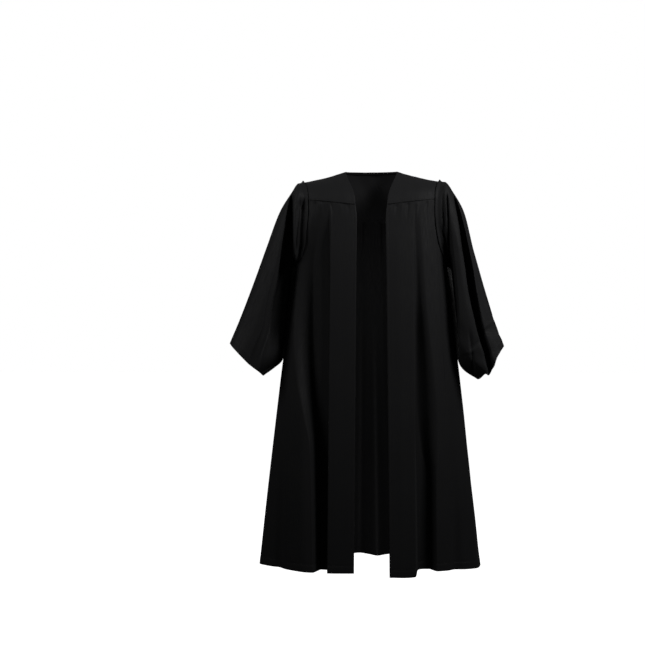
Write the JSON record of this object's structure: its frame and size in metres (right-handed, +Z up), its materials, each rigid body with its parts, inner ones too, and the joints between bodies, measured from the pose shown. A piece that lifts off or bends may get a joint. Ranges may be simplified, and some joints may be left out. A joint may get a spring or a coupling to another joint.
{
  "type": "graduation gown",
  "caption": "Open-fronted black graduation gown with yokes, pleated fronts, a gathered back and wide pointed sleeves, filled out as worn with nobody inside.",
  "frame": {"origin": "midway between the two points where the shoulder seams meet the neck, where the gown hangs on its wearer", "axes": "+Z up, -Y towards the front of the gown, +X towards the wearer's left"},
  "size_m": [0.892, 0.3678, 1.32],
  "materials": {
    "gown_cloth": "matte black woven cloth with a faint sheen",
    "neck_binding": "matte black folded binding"
  },
  "bodies": {
    "root": {"front_right": "gown_cloth", "front_left": "gown_cloth", "back": "gown_cloth", "yoke_front_right": "gown_cloth", "yoke_front_left": "gown_cloth", "yoke_back": "gown_cloth", "back_neck_binding": "neck_binding", "sleeve_right": "gown_cloth", "sleeve_left": "gown_cloth"}
  },
  "joints": []
}
